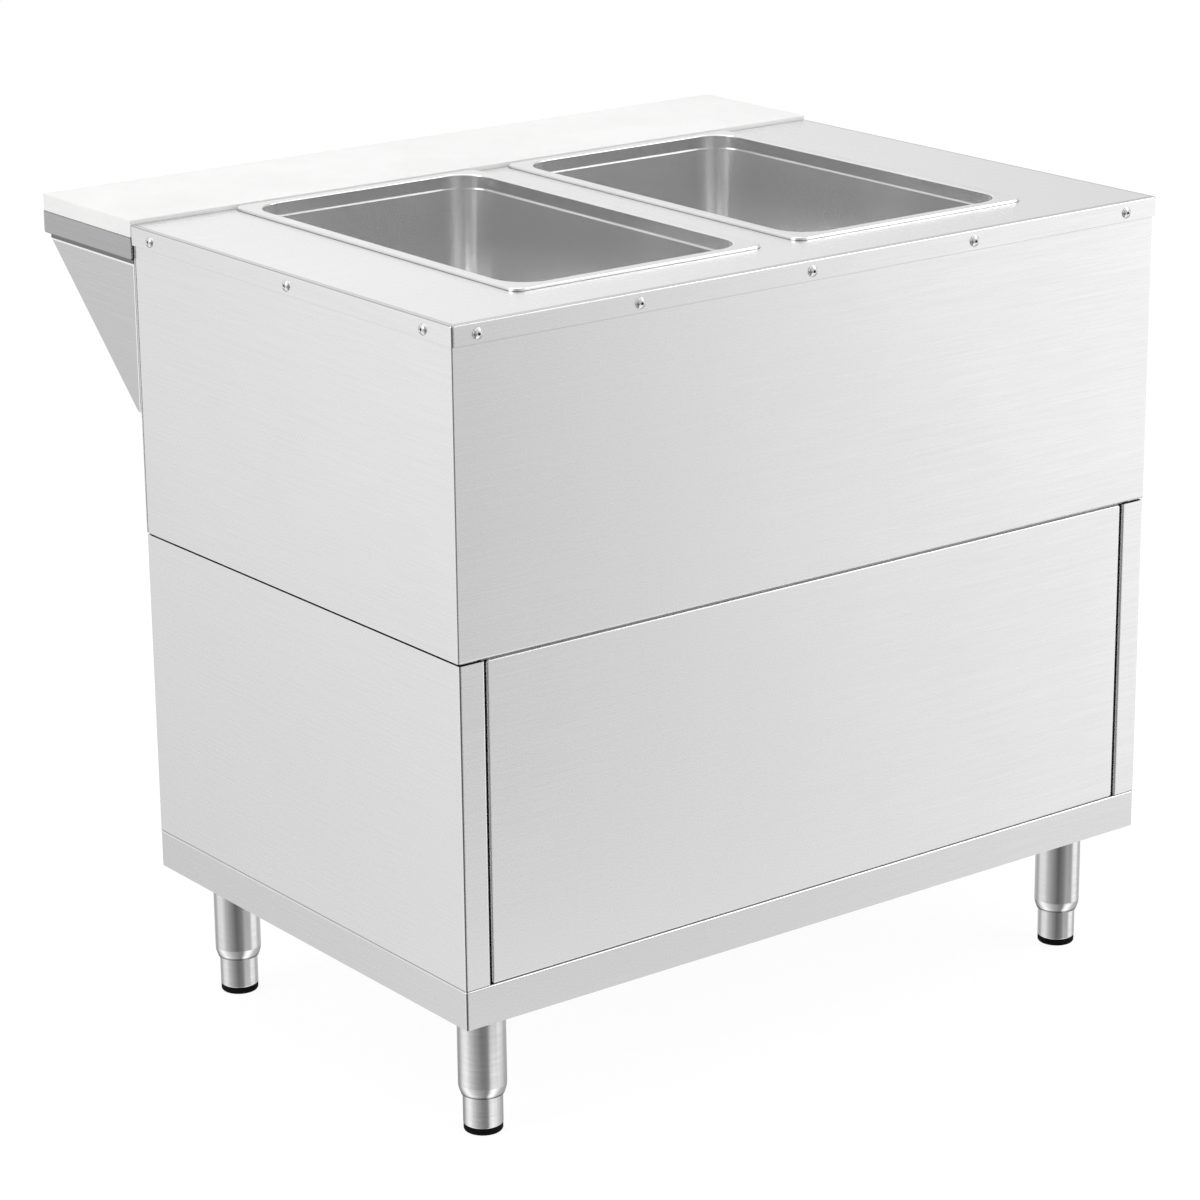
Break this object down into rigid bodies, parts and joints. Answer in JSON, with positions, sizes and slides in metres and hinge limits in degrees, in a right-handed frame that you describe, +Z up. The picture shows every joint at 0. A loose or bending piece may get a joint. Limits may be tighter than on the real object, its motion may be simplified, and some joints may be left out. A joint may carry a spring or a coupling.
{
  "type": "steam table",
  "caption": "Two-well electric steam table in sheet steel with a closed base, rear serving board, sliding doors and adjustable feet",
  "frame": {"origin": "on the floor under the middle of the bounding box", "axes": "+X along the table to the customers' right, +Y toward the operator's board, +Z up"},
  "size_m": [0.962, 0.7961, 0.897],
  "materials": {
    "brushed_stainless": "fine brushed",
    "pan_steel": "satin",
    "galvanised": "galvanised",
    "heater_sheath": "oxidised",
    "white_board": "matte",
    "black_pad": "matte",
    "black_knob": "satin",
    "dark_plastic": "matte",
    "amber_lens": "gloss",
    "rivet_steel": "satin",
    "leg_steel": "satin"
  },
  "bodies": {
    "cabinet": {"worktop": "brushed_stainless", "worktop_rib": "galvanised", "lip_rivets": "rivet_steel", "upper_front_panel": "brushed_stainless", "upper_side_panel_left": "brushed_stainless", "upper_side_panel_right": "brushed_stainless", "control_panel": "brushed_stainless", "mid_deck": "brushed_stainless", "lower_side_panel_left": "brushed_stainless", "lower_side_panel_right": "brushed_stainless", "lower_front_panel": "brushed_stainless", "base_tray": "brushed_stainless", "base_rail_left": "galvanised", "base_rail_right": "galvanised", "leg_1": "leg_steel", "leg_2": "leg_steel", "leg_3": "leg_steel", "leg_4": "leg_steel", "well_left": "galvanised", "well_right": "galvanised", "heater_left": "heater_sheath", "heater_right": "heater_sheath", "heater_saddles_left": "galvanised", "heater_saddles_right": "galvanised", "board": "white_board", "board_channel": "brushed_stainless", "board_bracket_left": "brushed_stainless", "board_bracket_right": "brushed_stainless", "door_track_foot": "brushed_stainless", "door_track_head": "brushed_stainless", "switch_left": "dark_plastic", "switch_right": "dark_plastic", "pilot_light_left": "amber_lens", "pilot_light_right": "amber_lens", "cord_gland": "dark_plastic"},
    "pan_left": {"pan_left": "pan_steel"},
    "pan_right": {"pan_right": "pan_steel"},
    "knob_left": {"knob_left": "black_knob"},
    "knob_right": {"knob_right": "black_knob"},
    "door_left": {"door_left": "brushed_stainless", "door_pull_left": "brushed_stainless"},
    "door_right": {"door_right": "brushed_stainless", "door_pull_right": "brushed_stainless"},
    "foot_1": {"foot_1": "leg_steel", "foot_pad_1": "black_pad"},
    "foot_2": {"foot_2": "leg_steel", "foot_pad_2": "black_pad"},
    "foot_3": {"foot_3": "leg_steel", "foot_pad_3": "black_pad"},
    "foot_4": {"foot_4": "leg_steel", "foot_pad_4": "black_pad"}
  },
  "joints": [
    {"name": "pan_left_lift", "type": "slide", "parent": "cabinet", "child": "pan_left", "axis": [0, 0, 1], "range_m": [0, 0.2]},
    {"name": "knob_left_turn", "type": "hinge", "parent": "cabinet", "child": "knob_left", "pos_m": [-0.185, 0.20795, 0.64], "axis": [0, -1, 0], "range_deg": [0, 270]},
    {"name": "pan_right_lift", "type": "slide", "parent": "cabinet", "child": "pan_right", "axis": [0, 0, 1], "range_m": [0, 0.2]},
    {"name": "knob_right_turn", "type": "hinge", "parent": "cabinet", "child": "knob_right", "pos_m": [0.185, 0.20795, 0.64], "axis": [0, -1, 0], "range_deg": [0, 270]},
    {"name": "door_left_slide", "type": "slide", "parent": "cabinet", "child": "door_left", "axis": [1, 0, 0], "range_m": [0, 0.44]},
    {"name": "door_right_slide", "type": "slide", "parent": "cabinet", "child": "door_right", "axis": [-1, 0, 0], "range_m": [0, 0.44]},
    {"name": "foot_1_adjust", "type": "slide", "parent": "cabinet", "child": "foot_1", "axis": [0, 0, 1], "range_m": [-0.025, 0.01]},
    {"name": "foot_2_adjust", "type": "slide", "parent": "cabinet", "child": "foot_2", "axis": [0, 0, 1], "range_m": [-0.025, 0.01]},
    {"name": "foot_3_adjust", "type": "slide", "parent": "cabinet", "child": "foot_3", "axis": [0, 0, 1], "range_m": [-0.025, 0.01]},
    {"name": "foot_4_adjust", "type": "slide", "parent": "cabinet", "child": "foot_4", "axis": [0, 0, 1], "range_m": [-0.025, 0.01]}
  ]
}
